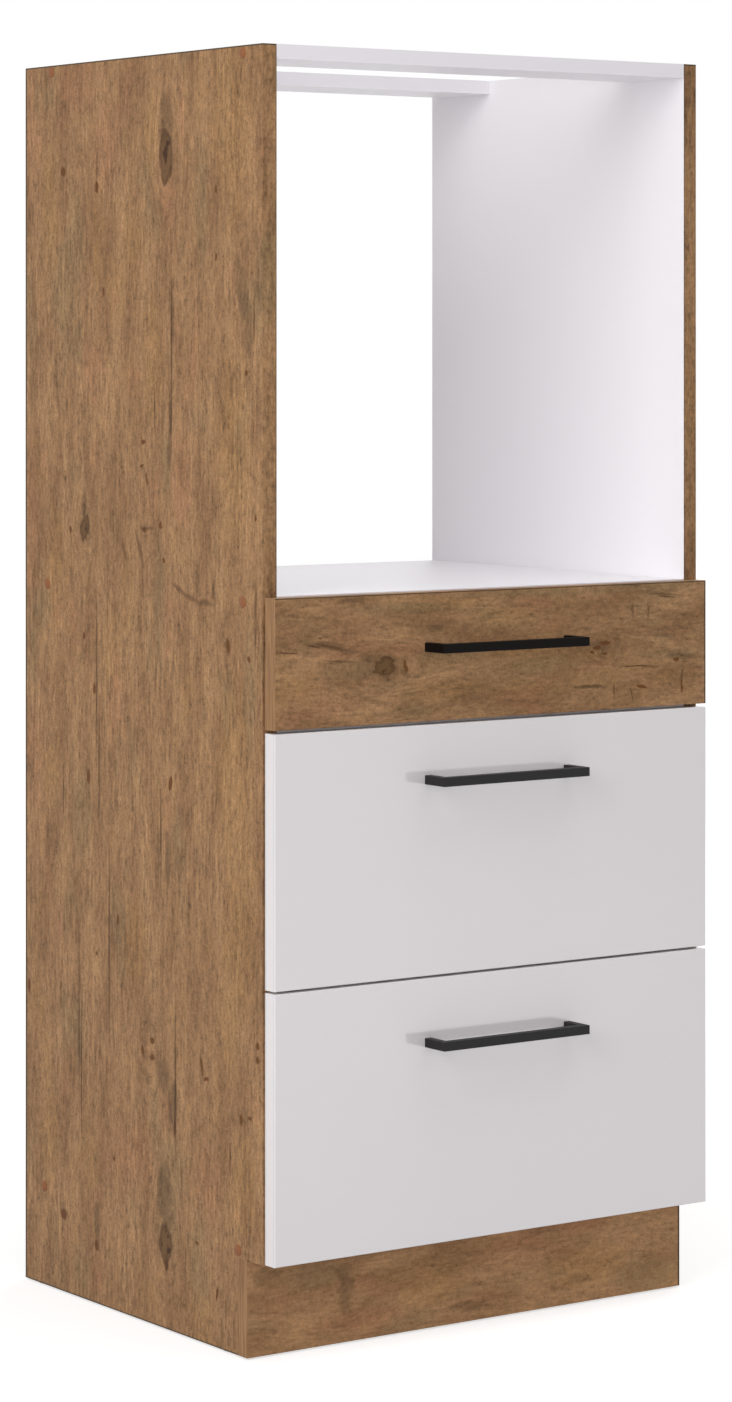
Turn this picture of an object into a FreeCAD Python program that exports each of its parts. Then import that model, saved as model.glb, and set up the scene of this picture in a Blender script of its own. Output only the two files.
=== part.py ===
import FreeCAD, Part
import math
import os

# Microwave cabinet: a tall open niche over three drawers, on a recessed plinth.
# X runs to the right, Y to the back and Z up. The origin is on the floor, in the middle of
# the whole outline, handles included. All sizes are in millimetres.

Vector = FreeCAD.Vector
RIGHT = Vector(1, 0, 0)
BACK = Vector(0, 1, 0)
UP = Vector(0, 0, 1)

# ---------------------------------------------------------------- driving sizes: boards
board = 16.0                 # boards between the side panels, and drawer boards
side_board = 18.0            # side panels and plinth
front_thickness = 19.0       # drawer fronts
hardboard = 3.0              # back panel and drawer bottoms

# ---------------------------------------------------------------- driving sizes: carcass
width = 600.0                # over the outer faces of the side panels
carcass_depth = 502.0        # front edge to rear edge of the side panels
plinth_height = 105.5
lower_case_height = 716.5    # underside of the bottom panel to the top of the niche shelf
niche_height = 577.0         # shelf to the underside of the top rails
plinth_setback = 30.0        # carcass front edge to the plinth's face
rail_depth = 100.0
rear_rail_inset = 28.0       # rear rail behind which the side panels run on
rebate_depth = 8.0           # from the rear edge of a side panel, along Y
rebate_width = 8.0           # into the thickness of a side panel, along X
rebate_clearance = 0.3       # back panel short of the rebate's wall
back_panel_margin = 2.0      # back panel short of the outer edges of the boards it covers
glide_thickness = 2.0
glide_diameter = 14.0
glide_inset = 30.0           # glide centre from the end of a side panel's bottom edge
glide_edge = 0.5             # bevel round the glide's foot
glide_pin_diameter = 3.0
glide_pin_length = 11.0
glide_pin_taper = 2.0        # length of the pin's point

# ---------------------------------------------------------------- driving sizes: fronts
front_standoff = 1.5         # carcass front edge to the rear of the fronts
front_side_reveal = 2.0      # fronts short of the outer faces of the side panels
front_top_reveal = 1.2       # top front below the top of the niche shelf
front_bottom_reveal = 0.7    # bottom front above the plinth's top
upper_front_gap = 3.7        # between the top and middle fronts
lower_front_gap = 2.8        # between the middle and bottom fronts
top_front_height = 141.5
middle_front_height = 275.0
front_edge_radius = 1.0
divider_rail_offset = 2.0    # centre of the divider rail below the upper gap's middle

# ---------------------------------------------------------------- driving sizes: handles
handle_bar = 10.0            # square section of the bar
handle_leg = 9.0             # width of its legs
handle_centres = 192.0       # between the two screws
handle_projection = 36.0     # from the front's face to the outer face of the bar
handle_drop = 60.0           # front's top edge to the bar's middle, top and middle drawers
bottom_handle_drop = 70.0
handle_edge_radius = 0.6
handle_screw_diameter = 4.0
handle_screw_head_diameter = 8.2
handle_screw_head_height = 2.3
handle_screw_bite = 7.0      # length of the screw inside the handle's leg

# ---------------------------------------------------------------- driving sizes: drawer boxes
box_depth = 450.0
top_box_height = 84.0
deep_box_height = 180.0
box_floor_clearance = 12.0   # box above the board under it
middle_box_lift = 16.0       # middle box above its front's bottom edge
bottom_groove_height = 10.0  # drawer bottom above the lower edge of the box
bottom_groove_depth = 8.0
groove_clearance = 0.1       # round the drawer bottom in its groove
box_screw_edge = 16.0        # screws from the upper and lower edges of the box
front_screw_side_inset = 60.0

# ---------------------------------------------------------------- driving sizes: slides
slide_thickness = 12.7       # from the side panel to the drawer box
slide_height = 45.0
slide_length = 450.0
slide_setback = 2.0          # behind the carcass front edge
slide_centre_height = 42.0   # slide's centre line above the lower edge of the box
slide_sheet = 1.2
slide_bend_radius = 2.0
member_clearance = 0.3       # between nested members
inner_members_short = 4.0    # intermediate and drawer members shorter than the slide
ball_diameter = 3.0
ball_clearance = 0.05
ball_strip_length = 110.0
ball_strip_thickness = 0.8
ball_strip_width = 3.2
ball_strip_end_gap = 5.0     # from the end of the intermediate member
ball_count = 5
access_hole_diameter = 9.0

# ---------------------------------------------------------------- driving sizes: fasteners
hole_clearance = 0.1         # radial, round every screw, dowel and nail
recess_reach = 0.28          # arm of a cross drive, as a share of the head's diameter
recess_half_width = 0.06     # half the slot's width, as a share of the head's diameter
confirmat_length = 50.0
confirmat_diameter = 7.0
confirmat_thread_diameter = 6.0
confirmat_head_diameter = 10.0
confirmat_head_rim = 1.0     # straight rim above the head's cone
confirmat_inset = 39.0       # from the front edge of the shelf and of the front rail
confirmat_rear_inset = 42.0  # from the rear edge of the shelf
bottom_confirmat_inset = 48.0        # from the front edge of the bottom panel
bottom_confirmat_rear_inset = 35.0   # from its rear edge
rear_rail_confirmat_inset = 31.0     # from the rear edge of the rear rail
hex_socket = 4.0
hex_socket_depth = 3.0
cap_diameter = 12.5
cap_height = 2.5             # from the panel's face to the top of the dome
cap_rim = 0.4                # straight rim under the dome
dowel_diameter = 8.0
dowel_length = 30.0
dowel_in_side = 10.0
dowel_chamfer = 1.0
rail_dowel_offset = 22.0     # from a rail's middle
deep_dowel_inset = 130.0     # from the ends of the shelf and of the bottom panel
box_screw_length = 30.0
box_screw_diameter = 4.0
box_screw_head = 8.0
box_screw_head_rim = 0.3
box_screw_recess_depth = 1.4
slide_screw_length = 12.0
slide_screw_diameter = 3.5
pan_head_diameter = 6.8
pan_head_height = 1.8
pan_crown_width = 0.7        # flat top of a pan head, as a share of its diameter
pan_crown_height = 0.5       # rounded part of a pan head, as a share of its height
pan_recess_depth = 0.6       # as a share of the head's height
slide_screw_first = 37.0     # from the carcass front edge
slide_screw_pitch = 176.0
member_screw_count = 3
nail_length = 20.0
nail_diameter = 1.8
nail_head_diameter = 4.4
nail_head_height = 0.8
nail_edge = 40.0             # first nail from the corner of the back panel
side_nail_count = 6
cross_nail_count = 3
bracket_size = 20.0
bracket_length = 30.0
bracket_nose = 6.0           # blunt end of each wing
bracket_screw_length = 15.0
bracket_hole_inset = 8.0     # bracket screws from the bracket's ends
bumper_diameter = 8.0
bumper_clearance = 0.3       # between a closed front and the bumper
bumper_inset = 14.0          # from a front's upper and lower edges
same_place = 0.01            # two coordinates nearer than this are one

# ---------------------------------------------------------------- places worked out from them
half_width = width / 2
inner_half = half_width - side_board
outline_depth = handle_projection + front_thickness + front_standoff + carcass_depth
rear_y = outline_depth / 2
carcass_front_y = rear_y - carcass_depth
front_rear_y = carcass_front_y - front_standoff
front_face_y = front_rear_y - front_thickness
handle_face_y = front_face_y - handle_projection
back_panel_y = rear_y - rebate_depth
plinth_face_y = carcass_front_y + plinth_setback
plinth_rear_y = plinth_face_y + side_board

side_bottom_z = glide_thickness
bottom_panel_z = side_bottom_z + plinth_height
shelf_top_z = bottom_panel_z + lower_case_height
shelf_z = shelf_top_z - board
rail_z = shelf_top_z + niche_height
top_z = rail_z + board

front_half = half_width - front_side_reveal
top_front_z = shelf_top_z - front_top_reveal - top_front_height
middle_front_z = top_front_z - upper_front_gap - middle_front_height
bottom_front_z = bottom_panel_z + front_bottom_reveal
bottom_front_height = middle_front_z - lower_front_gap - bottom_front_z
divider_rail_z = top_front_z - upper_front_gap / 2 - divider_rail_offset - board / 2
front_rail_y = carcass_front_y
rear_rail_y = rear_y - rear_rail_inset - rail_depth

box_half = inner_half - slide_thickness
box_front_y = front_rear_y
box_rear_y = box_front_y + box_depth

ball_gap = ball_diameter + 2 * ball_clearance
cabinet_member_half = slide_height / 2
intermediate_half = cabinet_member_half - slide_sheet - ball_gap
drawer_member_half = intermediate_half - slide_sheet - ball_gap
intermediate_start = slide_sheet + pan_head_height + member_clearance
intermediate_end = slide_thickness - slide_sheet - member_clearance
cabinet_member_end = intermediate_end - member_clearance - slide_sheet / 2
drawer_member_start = intermediate_start + slide_sheet + 2 * member_clearance
slide_front_y = carcass_front_y + slide_setback
slide_screw_ys = [carcass_front_y + slide_screw_first + i * slide_screw_pitch
                  for i in range(member_screw_count)]


# ---------------------------------------------------------------- basic shapes
def box(x_low, x_high, y_low, y_high, z_low, z_high):
    size = Vector(x_high - x_low, y_high - y_low, z_high - z_low)
    return Part.makeBox(size.x, size.y, size.z, Vector(x_low, y_low, z_low))


def placed(solid, start, direction):
    """Turn a solid made along +Z to point along direction, and move it to start."""
    solid.Placement = FreeCAD.Placement(start, FreeCAD.Rotation(UP, direction))
    return solid


def lathe(profile, start, direction):
    """Turned solid from (radius, height) points; both ends of the profile are on the axis."""
    points = [Vector(radius, 0, height) for radius, height in profile]
    face = Part.Face(Part.makePolygon(points + points[:1]))
    return placed(face.revolve(Vector(), UP, 360), start, direction)


def bore(diameter, length, start, direction):
    """Cutter for a hole with clearance round what it takes."""
    return Part.makeCylinder(diameter / 2 + hole_clearance, length + hole_clearance, start, direction)


def edges_along(shape, direction):
    """Straight edges of a shape that run along direction."""
    found = []
    for edge in shape.Edges:
        run = edge.Vertexes[-1].Point - edge.Vertexes[0].Point
        if run.Length > 0 and abs(run.dot(direction)) > 0.999 * run.Length:
            found.append(edge)
    return found


def mirrored(solid):
    return solid.mirror(Vector(), RIGHT)


def pair(solids):
    """The given solids of the left side with their mirror images on the right."""
    return solids + [mirrored(solid) for solid in solids]


def save(name, solids):
    shape = solids[0] if len(solids) == 1 else Part.makeCompound(solids)
    shape.exportStep("parts/" + name + ".step")


# ---------------------------------------------------------------- fasteners
def cross_recess(head_diameter, depth):
    """Cutter for a cross drive, standing on the head's face and pointing into it."""
    arm = head_diameter * recess_reach
    half = head_diameter * recess_half_width
    first = box(-arm, arm, -half, half, -depth, depth)
    second = box(-half, half, -arm, arm, -depth, depth)
    return first.fuse(second)


def countersunk_profile(length, diameter, head_diameter, grow):
    rim = box_screw_head_rim
    shank = diameter / 2 + grow
    head = head_diameter / 2 + grow
    return [(0, -grow), (head, -grow), (head, rim), (shank, rim + head - shank),
            (shank, length - diameter), (0, length + grow)]


def box_screw(start, direction):
    """Countersunk chipboard screw; start is the middle of its head's face."""
    profile = countersunk_profile(box_screw_length, box_screw_diameter, box_screw_head, 0)
    screw = lathe(profile, start, direction)
    return screw.cut(placed(cross_recess(box_screw_head, box_screw_recess_depth), start, direction))


def box_screw_hole(start, direction):
    profile = countersunk_profile(box_screw_length, box_screw_diameter, box_screw_head, hole_clearance)
    return lathe(profile, start, direction)


def pan_screw(start, direction, length, diameter, head_diameter, head_height):
    """Screw with a rounded flat head; start is where the underside of the head seats."""
    head = head_diameter / 2
    shank = diameter / 2
    shoulder = head_height * (1 - pan_crown_height)
    profile = [(0, -head_height), (head * pan_crown_width, -head_height), (head, -shoulder), (head, 0),
               (shank, 0), (shank, length - shank), (0, length)]
    recess = cross_recess(head_diameter, head_height * pan_recess_depth)
    return lathe(profile, start, direction).cut(placed(recess, start - direction * head_height, direction))


def confirmat_screw(start, direction):
    """Wide joining screw, flush with the panel's outer face, with a hexagon socket."""
    head = confirmat_head_diameter / 2
    neck = confirmat_diameter / 2
    thread = confirmat_thread_diameter / 2
    rim = confirmat_head_rim
    profile = [(0, 0), (head, 0), (head, rim), (neck, rim + head - neck), (neck, side_board),
               (thread, side_board), (thread, confirmat_length - thread), (0, confirmat_length)]
    corners = [Vector(math.cos(i * math.pi / 3), math.sin(i * math.pi / 3), 0) * (hex_socket / math.sqrt(3))
               for i in range(6)]
    socket = Part.Face(Part.makePolygon(corners + corners[:1])).extrude(UP * hex_socket_depth)
    return lathe(profile, start, direction).cut(placed(socket, start, direction))


def confirmat_hole(start, direction):
    head = confirmat_head_diameter / 2 + hole_clearance
    neck = confirmat_diameter / 2 + hole_clearance
    thread = confirmat_thread_diameter / 2 + hole_clearance
    rim = confirmat_head_rim
    profile = [(0, -rim), (head, -rim), (head, rim), (neck, rim + head - neck), (neck, side_board),
               (thread, side_board), (thread, confirmat_length), (0, confirmat_length + hole_clearance)]
    return lathe(profile, start, direction)


def dowel(start, direction):
    radius = dowel_diameter / 2
    chamfer = dowel_chamfer
    profile = [(0, 0), (radius - chamfer, 0), (radius, chamfer), (radius, dowel_length - chamfer),
               (radius - chamfer, dowel_length), (0, dowel_length)]
    return lathe(profile, start, direction)


def nail(start, direction):
    """Flat-headed nail; start is where the underside of the head seats."""
    head = nail_head_diameter / 2
    shank = nail_diameter / 2
    profile = [(0, -nail_head_height), (head, -nail_head_height), (head, 0), (shank, 0),
               (shank, nail_length - nail_diameter), (0, nail_length)]
    return lathe(profile, start, direction)


# ---------------------------------------------------------------- where the fasteners of the carcass go
def rail_middle(rail_y):
    return rail_y + rail_depth / 2


def confirmat_places():
    """(y, z) of the joining screws through each side panel."""
    top = rail_z + board / 2
    shelf = shelf_z + board / 2
    bottom = bottom_panel_z + board / 2
    return [(front_rail_y + confirmat_inset, top),
            (rear_rail_y + rail_depth - rear_rail_confirmat_inset, top),
            (carcass_front_y + confirmat_inset, shelf),
            (back_panel_y - confirmat_rear_inset, shelf),
            (carcass_front_y + bottom_confirmat_inset, bottom),
            (back_panel_y - bottom_confirmat_rear_inset, bottom)]


def dowel_places():
    """(y, z) of the dowels between each side panel and the boards that it meets."""
    deep = [carcass_front_y + deep_dowel_inset, back_panel_y - deep_dowel_inset]
    beside_screw = [rail_middle(front_rail_y) + rail_dowel_offset,
                    rail_middle(rear_rail_y) - rail_dowel_offset]
    divider = [rail_middle(carcass_front_y) + offset for offset in (-rail_dowel_offset, rail_dowel_offset)]
    places = [(y, z + board / 2) for z in (bottom_panel_z, shelf_z) for y in deep]
    places += [(y, rail_z + board / 2) for y in beside_screw]
    places += [(y, divider_rail_z + board / 2) for y in divider]
    return places


def side_starts(places, x):
    return [Vector(x, y, z) for y, z in places]


left_confirmat_starts = side_starts(confirmat_places(), -half_width)
left_dowel_starts = side_starts(dowel_places(), -inner_half - dowel_in_side)


def confirmat_cutters():
    return pair([confirmat_hole(start, RIGHT) for start in left_confirmat_starts])


def dowel_cutters():
    back_off = RIGHT * hole_clearance
    return pair([bore(dowel_diameter, dowel_length + hole_clearance, start - back_off, RIGHT)
                 for start in left_dowel_starts])


def spread(low, high, count):
    return [low + (high - low) * i / (count - 1) for i in range(count)]


def nail_starts():
    """Nails round the back panel, into the side panels, the bottom panel and the shelf."""
    y = back_panel_y + hardboard
    low = bottom_panel_z + board + nail_edge
    high = shelf_z - nail_edge
    side_x = inner_half + rebate_width / 2
    starts = [Vector(x, y, z) for x in (-side_x, side_x) for z in spread(low, high, side_nail_count)]
    across = spread(-inner_half + nail_edge, inner_half - nail_edge, cross_nail_count)
    starts += [Vector(x, y, z + board / 2) for z in (bottom_panel_z, shelf_z) for x in across]
    return starts


def nail_cutters():
    return [bore(nail_diameter, nail_length, start, -BACK) for start in nail_starts()]


def glide_places():
    low = plinth_rear_y + glide_inset
    high = rear_y - glide_inset
    return [Vector(-half_width + side_board / 2, y, 0) for y in (low, high)]


def glide(place):
    """Round plastic glide with a pin that is driven into the panel's bottom edge."""
    radius = glide_diameter / 2
    pin = glide_pin_diameter / 2
    tip = glide_thickness + glide_pin_length
    profile = [(0, 0), (radius - glide_edge, 0), (radius, glide_edge), (radius, glide_thickness),
               (pin, glide_thickness), (pin, tip - glide_pin_taper), (0, tip)]
    return lathe(profile, place, UP)


def glide_cutters():
    return pair([bore(glide_pin_diameter, glide_pin_length, place + UP * glide_thickness, UP)
                 for place in glide_places()])


# ---------------------------------------------------------------- carcass
def left_side_panel():
    panel = box(-half_width, -inner_half, carcass_front_y, rear_y, side_bottom_z, top_z)
    toe_notch = box(-half_width, -inner_half, carcass_front_y, plinth_rear_y, side_bottom_z, bottom_panel_z)
    rebate = box(-inner_half - rebate_width, -inner_half, back_panel_y, rear_y, side_bottom_z, top_z)
    return panel.cut([toe_notch, rebate])


def side_panel(side):
    """side is -1 for the left panel and 1 for the right one."""
    panel = left_side_panel() if side < 0 else mirrored(left_side_panel())
    cutters = confirmat_cutters() + dowel_cutters() + nail_cutters() + glide_cutters()
    cutters += cabinet_screw_cutters() + bracket_screw_cutters()
    return panel.cut([cutter for cutter in cutters if cutter.BoundBox.intersect(panel.BoundBox)])


def cross_board(y_low, y_high, z_low):
    """Horizontal board between the side panels."""
    plank = box(-inner_half, inner_half, y_low, y_high, z_low, z_low + board)
    cutters = confirmat_cutters() + dowel_cutters() + nail_cutters() + bracket_screw_cutters()
    return plank.cut([cutter for cutter in cutters if cutter.BoundBox.intersect(plank.BoundBox)])


def back_panel():
    half = inner_half + rebate_width - rebate_clearance
    sheet = box(-half, half, back_panel_y, back_panel_y + hardboard,
                bottom_panel_z + back_panel_margin, shelf_top_z - back_panel_margin)
    return sheet.cut(nail_cutters())


def plinth_board():
    plank = box(-half_width, half_width, plinth_face_y, plinth_rear_y, side_bottom_z, bottom_panel_z)
    return plank.cut(bracket_screw_cutters())


def screw_cap(start):
    """Domed cover over a joining screw, on the panel's outer face."""
    radius = cap_diameter / 2
    dome = cap_height - cap_rim
    ball_radius = (radius ** 2 + dome ** 2) / (2 * dome)
    ball = Part.makeSphere(ball_radius, UP * (cap_height - ball_radius))
    return placed(Part.makeCylinder(radius, 2 * cap_height).common(ball), start, -RIGHT)


# ---------------------------------------------------------------- plinth brackets
def end_bracket_corner():
    return Vector(-inner_half, plinth_rear_y, side_bottom_z + (plinth_height - bracket_length) / 2)


def top_bracket_corner():
    return Vector(-inner_half / 2 - bracket_length / 2, plinth_rear_y, bottom_panel_z)


def bracket_prism(corner, along, first, second):
    """Corner block: a blunt triangular section of the directions first and second, run along."""
    size = bracket_size
    nose = bracket_nose
    points = [corner, corner + first * size, corner + first * size + second * nose,
              corner + first * nose + second * size, corner + second * size]
    return Part.Face(Part.makePolygon(points + points[:1])).extrude(along * bracket_length)


def bracket_screw_places():
    """(start, direction) of the left brackets' screws, with each head in the block's face."""
    low = bracket_hole_inset
    high = bracket_length - bracket_hole_inset
    seat = bracket_nose
    end = end_bracket_corner()
    top = top_bracket_corner()
    middle = bracket_size / 2
    return [(end + RIGHT * seat + BACK * middle + UP * low, -RIGHT),
            (end + RIGHT * middle + BACK * seat + UP * high, -BACK),
            (top + RIGHT * low + BACK * middle - UP * seat, UP),
            (top + RIGHT * high + BACK * seat - UP * middle, -BACK)]


def bracket_screws():
    return pair([pan_screw(start, way, bracket_screw_length, slide_screw_diameter, pan_head_diameter,
                           pan_head_height) for start, way in bracket_screw_places()])


def bracket_screw_cutters():
    return pair([bore(slide_screw_diameter, bracket_screw_length, start, way)
                 for start, way in bracket_screw_places()])


def plinth_brackets():
    """Two blocks at the plinth's ends and two under the bottom panel."""
    blocks = [bracket_prism(end_bracket_corner(), UP, RIGHT, BACK),
              bracket_prism(top_bracket_corner(), RIGHT, BACK, -UP)]
    head_room = [bore(pan_head_diameter, bracket_size, start - way * bracket_size, way)
                 for start, way in bracket_screw_places()]
    shanks = [bore(slide_screw_diameter, bracket_screw_length, start, way)
              for start, way in bracket_screw_places()]
    return pair([block.cut(head_room + shanks) for block in blocks])


# ---------------------------------------------------------------- slides
def slide_bar(start, end, half_height, y_low, y_high, z, radius):
    """Bar with rounded long edges; start and end are measured from the side panel."""
    bar = box(start - inner_half, end - inner_half, y_low, y_high, z - half_height, z + half_height)
    return bar.makeFillet(radius, edges_along(bar, BACK))


def channel(start, end, half_height, mouth_half, mouth_at_start, y_low, y_high, z):
    """Rolled C-section with its mouth at its start or its end, mouth_half above and below z."""
    sheet = slide_sheet
    outer = slide_bar(start, end, half_height, y_low, y_high, z, slide_bend_radius)
    hollow = slide_bar(start + sheet, end - sheet, half_height - sheet, y_low, y_high, z,
                       slide_bend_radius - sheet)
    mouth_low = start if mouth_at_start else end - sheet
    mouth = box(mouth_low - inner_half, mouth_low + sheet - inner_half, y_low, y_high,
                z - mouth_half, z + mouth_half)
    return outer.cut([hollow, mouth])


def cabinet_member(z):
    member = channel(0, cabinet_member_end, cabinet_member_half, intermediate_half + member_clearance,
                     False, slide_front_y, slide_front_y + slide_length, z)
    return member.cut([bore(slide_screw_diameter, slide_screw_length, start, -RIGHT)
                       for start in cabinet_screw_starts(z)])


def intermediate_rear_y():
    return slide_front_y + slide_length - inner_members_short / 2


def intermediate_front_y():
    return slide_front_y + inner_members_short / 2


def intermediate_member(z):
    """Runs inside the cabinet member, with holes that give access to its screws."""
    member = channel(intermediate_start, intermediate_end, intermediate_half,
                     drawer_member_half + member_clearance, False,
                     intermediate_front_y(), intermediate_rear_y(), z)
    web = intermediate_start - inner_half - hole_clearance
    return member.cut([Part.makeCylinder(access_hole_diameter / 2, slide_sheet + 2 * hole_clearance,
                                         Vector(web, y, z), RIGHT) for y in slide_screw_ys])


def drawer_member(z):
    member = channel(drawer_member_start, slide_thickness, drawer_member_half,
                     drawer_member_half - slide_bend_radius, True,
                     slide_front_y, box_rear_y, z)
    return member.cut([bore(slide_screw_diameter, slide_screw_length, start, RIGHT)
                       for start in drawer_screw_starts(z)])


def ball_strip(start_from_side, z, y_low):
    """Retainer strip with its balls, between two raceways that face each other."""
    x = start_from_side - inner_half
    half = ball_strip_width / 2
    half_thickness = ball_strip_thickness / 2
    strip = box(x - half, x + half, y_low, y_low + ball_strip_length, z - half_thickness, z + half_thickness)
    margin = 2 * ball_diameter
    balls = [Part.makeSphere(ball_diameter / 2, Vector(x, y, z))
             for y in spread(y_low + margin, y_low + ball_strip_length - margin, ball_count)]
    return strip.fuse(balls)


def ball_strips(z):
    """Strips outside the intermediate member at its rear and inside it at its front."""
    outer_x = (intermediate_start + slide_bend_radius + cabinet_member_end - slide_sheet) / 2
    inner_x = (intermediate_start + intermediate_end) / 2
    outer_z = intermediate_half + ball_gap / 2
    inner_z = drawer_member_half + ball_gap / 2
    rear_start = intermediate_rear_y() - ball_strip_end_gap - ball_strip_length
    front_start = intermediate_front_y() + ball_strip_end_gap
    strips = [ball_strip(outer_x, z + sign * outer_z, rear_start) for sign in (-1, 1)]
    strips += [ball_strip(inner_x, z + sign * inner_z, front_start) for sign in (-1, 1)]
    return pair(strips)


def cabinet_screw_starts(z):
    return [Vector(slide_sheet - inner_half, y, z) for y in slide_screw_ys]


def drawer_screw_starts(z):
    shift = BACK * (box_rear_y - slide_front_y - slide_length) / 2
    return [Vector(slide_thickness - slide_sheet - inner_half, y, z) + shift for y in slide_screw_ys]


def cabinet_screws():
    return pair([pan_screw(start, -RIGHT, slide_screw_length, slide_screw_diameter, pan_head_diameter,
                           pan_head_height)
                 for drawer in drawers for start in cabinet_screw_starts(drawer.slide_z)])


def cabinet_screw_cutters():
    return pair([bore(slide_screw_diameter, slide_screw_length, start, -RIGHT)
                 for drawer in drawers for start in cabinet_screw_starts(drawer.slide_z)])


# ---------------------------------------------------------------- drawers
class Drawer:
    """One drawer: its front, handle, box, screws and slides."""

    def __init__(self, name, front_z, front_height, box_z, box_height, handle_below_top):
        self.name = name
        self.front_z = front_z
        self.front_height = front_height
        self.box_z = box_z
        self.box_height = box_height
        self.box_top = box_z + box_height
        self.slide_z = box_z + slide_centre_height
        self.handle_z = front_z + front_height - handle_below_top

    def bumper_zs(self):
        return [self.front_z + bumper_inset, self.front_z + self.front_height - bumper_inset]

    def handle_grip_y(self):
        """Where the handle screws' heads seat: inside the box, or behind a front that stands over it."""
        inside_box = self.handle_z - handle_screw_head_diameter / 2 < self.box_top
        return box_front_y + board if inside_box else front_rear_y

    def handle_screw_length(self):
        return self.handle_grip_y() - front_face_y + handle_screw_bite

    def handle_screw_starts(self):
        half = handle_centres / 2
        return [Vector(x, self.handle_grip_y(), self.handle_z) for x in (-half, half)]

    def handle_screws(self):
        return [pan_screw(start, -BACK, self.handle_screw_length(), handle_screw_diameter,
                          handle_screw_head_diameter, handle_screw_head_height)
                for start in self.handle_screw_starts()]

    def handle_screw_cutters(self):
        return [bore(handle_screw_diameter, self.handle_screw_length(), start, -BACK)
                for start in self.handle_screw_starts()]

    def screw_zs(self):
        return [self.box_z + bottom_groove_height + hardboard + box_screw_edge, self.box_top - box_screw_edge]

    def corner_screw_starts(self):
        """Heads in the left box side, into the ends of the box front and the box back."""
        ys = [box_front_y + board / 2, box_rear_y - board / 2]
        return [Vector(-box_half, y, z) for y in ys for z in self.screw_zs()]

    def front_screw_starts(self):
        """Heads inside the box, through the box front and into the drawer front."""
        x = box_half - front_screw_side_inset
        return [Vector(-x, box_front_y + board, z) for z in self.screw_zs()]

    def box_screws(self):
        corner = [box_screw(start, RIGHT) for start in self.corner_screw_starts()]
        return pair(corner + [box_screw(start, -BACK) for start in self.front_screw_starts()])

    def box_screw_cutters(self):
        corner = [box_screw_hole(start, RIGHT) for start in self.corner_screw_starts()]
        return pair(corner + [box_screw_hole(start, -BACK) for start in self.front_screw_starts()])

    def slide_screws(self):
        return pair([pan_screw(start, RIGHT, slide_screw_length, slide_screw_diameter, pan_head_diameter,
                               pan_head_height) for start in drawer_screw_starts(self.slide_z)])

    def slide_screw_cutters(self):
        return pair([bore(slide_screw_diameter, slide_screw_length, start, RIGHT)
                     for start in drawer_screw_starts(self.slide_z)])

    def bottom(self, grow):
        """Drawer bottom, or with grow the cutter for the grooves that hold it."""
        x = box_half - board + bottom_groove_depth - groove_clearance + grow
        inset = board - bottom_groove_depth + groove_clearance - grow
        z = self.box_z + bottom_groove_height
        return box(-x, x, box_front_y + inset, box_rear_y - inset, z - grow, z + hardboard + grow)

    def cut_board(self, plank):
        cutters = self.box_screw_cutters() + self.handle_screw_cutters() + self.slide_screw_cutters()
        cutters.append(self.bottom(groove_clearance))
        return plank.cut([cutter for cutter in cutters if cutter.BoundBox.intersect(plank.BoundBox)])

    def left_side(self):
        return self.cut_board(box(-box_half, board - box_half, box_front_y, box_rear_y,
                                  self.box_z, self.box_top))

    def cross_piece(self, y_low):
        half = box_half - board
        return self.cut_board(box(-half, half, y_low, y_low + board, self.box_z, self.box_top))

    def front(self):
        panel = box(-front_half, front_half, front_face_y, front_rear_y,
                    self.front_z, self.front_z + self.front_height)
        face_edges = [edge for edge in panel.Edges if abs(edge.CenterOfMass.y - front_face_y) < same_place]
        return self.cut_board(panel.makeFillet(front_edge_radius, face_edges))

    def handle(self):
        """Square bar with two legs that stand on the front."""
        half = (handle_centres + handle_leg) / 2
        z_low = self.handle_z - handle_bar / 2
        z_high = self.handle_z + handle_bar / 2
        bow = box(-half, half, handle_face_y, front_face_y, z_low, z_high)
        finger_gap = box(handle_leg - half, half - handle_leg, handle_face_y + handle_bar, front_face_y,
                         z_low, z_high)
        bow = bow.cut(finger_gap)
        free_edges = [edge for edge in bow.Edges if edge.BoundBox.YMin < front_face_y - same_place]
        return bow.makeFillet(handle_edge_radius, free_edges).cut(self.handle_screw_cutters())

    def save(self):
        left_side = self.left_side()
        save(self.name + "_front", [self.front()])
        save(self.name + "_handle", [self.handle()])
        save(self.name + "_handle_screws", self.handle_screws())
        save(self.name + "_box_side_left", [left_side])
        save(self.name + "_box_side_right", [mirrored(left_side)])
        save(self.name + "_box_front", [self.cross_piece(box_front_y)])
        save(self.name + "_box_back", [self.cross_piece(box_rear_y - board)])
        save(self.name + "_box_bottom", [self.bottom(0)])
        save(self.name + "_box_screws", self.box_screws())
        save(self.name + "_slide_screws", self.slide_screws())
        save(self.name + "_slide_cabinet_members", pair([cabinet_member(self.slide_z)]))
        save(self.name + "_slide_intermediate_members", pair([intermediate_member(self.slide_z)]))
        save(self.name + "_slide_drawer_members", pair([drawer_member(self.slide_z)]))
        save(self.name + "_slide_ball_strips", ball_strips(self.slide_z))


top_box_z = divider_rail_z + board + box_floor_clearance
middle_box_z = middle_front_z + middle_box_lift
bottom_box_z = bottom_panel_z + board + box_floor_clearance
drawers = [
    Drawer("top_drawer", top_front_z, top_front_height, top_box_z, top_box_height, handle_drop),
    Drawer("middle_drawer", middle_front_z, middle_front_height, middle_box_z, deep_box_height, handle_drop),
    Drawer("bottom_drawer", bottom_front_z, bottom_front_height, bottom_box_z, deep_box_height,
           bottom_handle_drop),
]


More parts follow.
